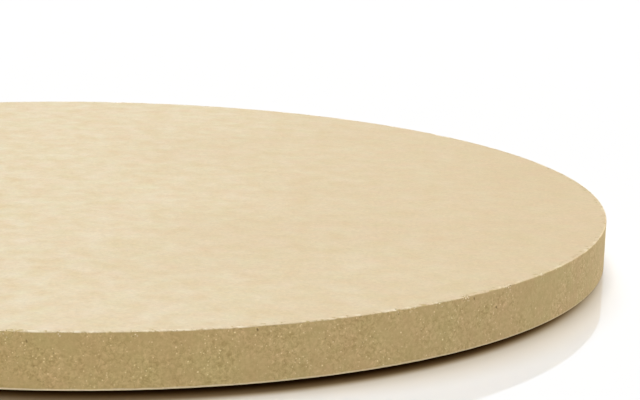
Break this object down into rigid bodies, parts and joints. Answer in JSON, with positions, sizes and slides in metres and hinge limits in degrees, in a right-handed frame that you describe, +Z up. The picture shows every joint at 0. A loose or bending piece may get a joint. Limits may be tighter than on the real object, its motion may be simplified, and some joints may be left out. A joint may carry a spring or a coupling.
{
  "type": "pizza stone",
  "caption": "Flat round baking stone with a plain upright wall: a thick solid slab that stores oven heat and bakes what is laid on its flat top face.",
  "frame": {"origin": "centre of the underside, on the surface that the stone lies on", "axes": "+Z up, square to the baking face; the stone is round, so X and Y are alike"},
  "size_m": [0.356, 0.356, 0.016],
  "materials": {
    "fired_stone": "matte unglazed fired stone, fine sandy grain, cream to khaki"
  },
  "bodies": {
    "root": {"baking_stone": "fired_stone"}
  },
  "joints": []
}
